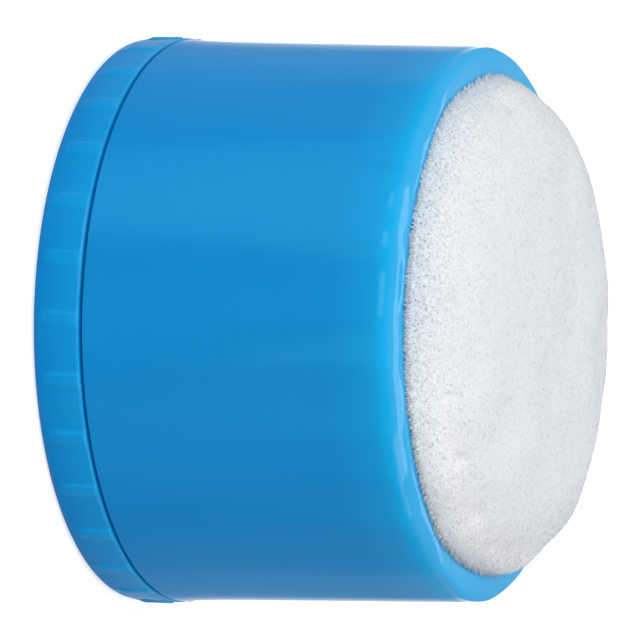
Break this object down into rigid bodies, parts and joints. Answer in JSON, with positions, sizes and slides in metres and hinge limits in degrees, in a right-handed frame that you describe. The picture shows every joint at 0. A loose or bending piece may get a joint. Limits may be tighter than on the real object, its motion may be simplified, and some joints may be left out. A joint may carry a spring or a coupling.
{
  "type": "sponge applicator",
  "caption": "Round hand-held sponge applicator: a tapered plastic cup with a rounded in-turned lip, a domed foam pad in its mouth and a low ribbed screw cap under its base.",
  "frame": {"origin": "centre of the face that the cap rests on", "axes": "+Z along the cup's axis towards the foam; the cap's first grip rib faces -Y"},
  "size_m": [0.0542, 0.0544, 0.0418],
  "materials": {
    "cup_plastic": "satin",
    "cap_plastic": "satin",
    "gasket_rubber": "matte",
    "plate_plastic": "matte",
    "white_foam": "matte"
  },
  "bodies": {
    "cup": {"body_shell": "cup_plastic", "feed_plate": "plate_plastic", "foam_pad": "white_foam"},
    "seal": {"cap_gasket": "gasket_rubber"},
    "cap": {"base_cap": "cap_plastic"}
  },
  "joints": [
    {"name": "cap_travel", "type": "slide", "parent": "cup", "child": "seal", "axis": [0, 0, -1], "range_m": [0, 0.00375]},
    {"name": "cap_turn", "type": "hinge", "parent": "seal", "child": "cap", "pos_m": [0, 0, 0], "axis": [0, 0, -1], "range_deg": [0, 450]}
  ],
  "couplings": [
    {"joint": "cap_travel", "follows": "cap_turn", "m_per_rad": 0.00047746}
  ]
}
